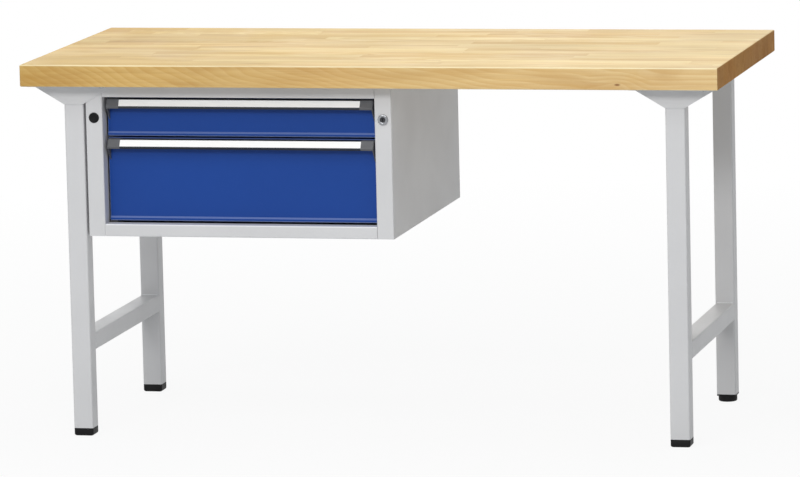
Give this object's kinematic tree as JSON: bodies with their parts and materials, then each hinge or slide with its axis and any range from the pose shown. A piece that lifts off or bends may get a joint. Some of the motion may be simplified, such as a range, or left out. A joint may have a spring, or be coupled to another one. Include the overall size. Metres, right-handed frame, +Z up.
{
  "type": "combination workbench",
  "caption": "Workbench with a laminated wooden top on a steel frame of square legs, and a hanging steel cabinet of sliding, lockable drawers under one end.",
  "frame": {"origin": "on the floor under the middle of the bench top", "axes": "+X to the user's right along the bench, +Y from the user to the back, +Z up"},
  "size_m": [1.6, 0.75, 0.86],
  "materials": {
    "beech": "oiled laminated beech",
    "grey_paint": "light grey powder coat",
    "blue_paint": "blue powder coat",
    "zinc_steel": "bright zinc plate",
    "chrome": "polished",
    "burnished_steel": "dark burnished key core",
    "black_plastic": "moulded, fine texture",
    "grip_aluminium": "dark grey anodised extrusion",
    "grip_end_plastic": "moulded, dark grey",
    "label_card": "plain white strip"
  },
  "bodies": {
    "bench": {"bench_top": "beech", "top_screws": "zinc_steel", "hole_plug": "black_plastic", "lock_housing": "chrome", "lock_nut": "chrome", "lock_bar_guides": "black_plastic", "left_stretcher": "grey_paint", "left_top_tube": "grey_paint", "cabinet_left_side": "grey_paint", "left_runner_posts": "grey_paint", "front_left_leg": "grey_paint", "front_left_gusset": "grey_paint", "front_left_foot": "black_plastic", "rear_left_leg": "grey_paint", "rear_left_gusset": "grey_paint", "rear_left_foot": "black_plastic", "right_stretcher": "grey_paint", "right_top_tube": "grey_paint", "cabinet_right_side": "grey_paint", "right_runner_posts": "grey_paint", "front_right_leg": "grey_paint", "front_right_gusset": "grey_paint", "front_right_foot": "black_plastic", "rear_right_leg": "grey_paint", "rear_right_gusset": "grey_paint", "rear_right_foot": "black_plastic", "cabinet_top": "grey_paint", "cabinet_bottom": "grey_paint", "cabinet_back": "grey_paint", "upper_left_outer_rail": "zinc_steel", "upper_right_outer_rail": "zinc_steel", "lower_left_outer_rail": "zinc_steel", "lower_right_outer_rail": "zinc_steel"},
    "upper_drawer": {"upper_drawer_front": "blue_paint", "upper_drawer_tray": "grey_paint", "upper_drawer_back": "grey_paint", "upper_grip_rail": "grip_aluminium", "upper_label_strip": "label_card", "upper_grip_caps": "grip_end_plastic", "upper_lock_catch": "zinc_steel", "upper_left_inner_rail": "zinc_steel", "upper_right_inner_rail": "zinc_steel"},
    "upper_runner": {"upper_left_middle_rail": "zinc_steel", "upper_right_middle_rail": "zinc_steel"},
    "lower_drawer": {"lower_drawer_front": "blue_paint", "lower_drawer_tray": "grey_paint", "lower_drawer_back": "grey_paint", "lower_grip_rail": "grip_aluminium", "lower_label_strip": "label_card", "lower_grip_caps": "grip_end_plastic", "lower_lock_catch": "zinc_steel", "lower_left_inner_rail": "zinc_steel", "lower_right_inner_rail": "zinc_steel"},
    "lower_runner": {"lower_left_middle_rail": "zinc_steel", "lower_right_middle_rail": "zinc_steel"},
    "lock_core": {"lock_barrel": "burnished_steel", "lock_cam": "zinc_steel"},
    "lock_slider": {"lock_bar": "zinc_steel"}
  },
  "joints": [
    {"name": "upper_drawer_slide", "type": "slide", "parent": "bench", "child": "upper_drawer", "axis": [0, -1, 0], "range_m": [0, 0.5]},
    {"name": "upper_runner_slide", "type": "slide", "parent": "bench", "child": "upper_runner", "axis": [0, -1, 0], "range_m": [0, 0.25]},
    {"name": "lower_drawer_slide", "type": "slide", "parent": "bench", "child": "lower_drawer", "axis": [0, -1, 0], "range_m": [0, 0.5]},
    {"name": "lower_runner_slide", "type": "slide", "parent": "bench", "child": "lower_runner", "axis": [0, -1, 0], "range_m": [0, 0.25]},
    {"name": "lock_turn", "type": "hinge", "parent": "bench", "child": "lock_core", "pos_m": [0.0275, -0.315, 0.733], "axis": [0, -1, 0], "range_deg": [0, 90]},
    {"name": "lock_bar_slide", "type": "slide", "parent": "bench", "child": "lock_slider", "axis": [0, 0, -1], "range_m": [0, 0.01061]}
  ],
  "couplings": [
    {"joint": "upper_runner_slide", "follows": "upper_drawer_slide", "ratio": 0.5},
    {"joint": "lower_runner_slide", "follows": "lower_drawer_slide", "ratio": 0.5},
    {"joint": "lock_turn", "follows": "lock_bar_slide", "rad_per_m": 148.1}
  ]
}
